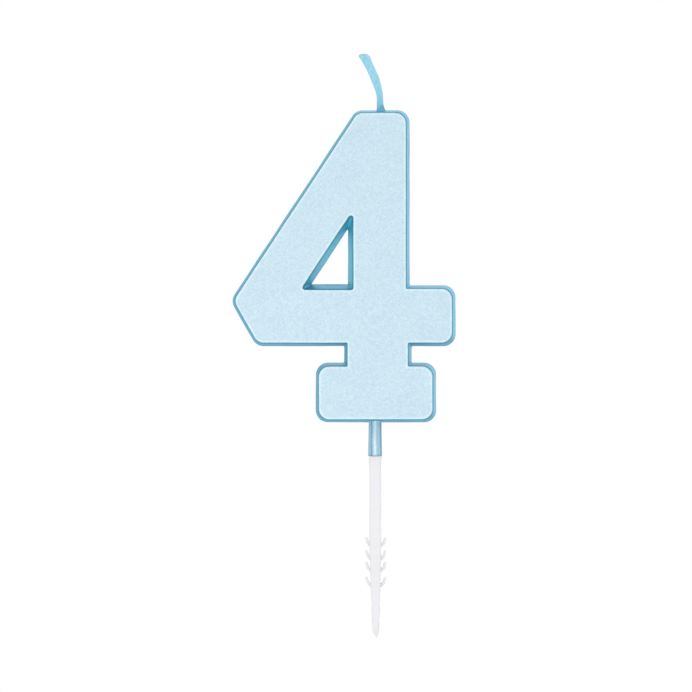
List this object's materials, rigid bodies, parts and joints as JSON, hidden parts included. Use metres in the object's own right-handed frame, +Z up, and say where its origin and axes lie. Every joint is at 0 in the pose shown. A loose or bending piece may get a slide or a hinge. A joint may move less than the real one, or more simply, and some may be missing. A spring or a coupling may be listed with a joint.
{
  "type": "number birthday candle",
  "caption": "Flat wax candle in the shape of the numeral 4, pale blue, with a bent wick on top and a white barbed pick below that pushes into a cake.",
  "frame": {"origin": "on the pick's axis, level with the lowest edge of the numeral's foot and halfway through its thickness: the point that meets the top of the cake", "axes": "+Z up along the pick and the stem, towards the wick; -Y out of the front face, +Y out of the flat back; +X to the right as the numeral is read"},
  "size_m": [0.05, 0.009, 0.1302],
  "materials": {
    "wax": "translucent off-white paraffin wax, hidden under the coat",
    "coat": "pale blue pearl coat with a fine grain, satin on the front, deeper blue on the walls",
    "wick_cotton": "braided cotton stiffened with blue wax",
    "pick_plastic": "white moulded plastic, smooth, slightly translucent"
  },
  "bodies": {
    "root": {"wax_core": "wax", "colour_coat": "coat", "wick": "wick_cotton", "pick": "pick_plastic"}
  },
  "joints": []
}
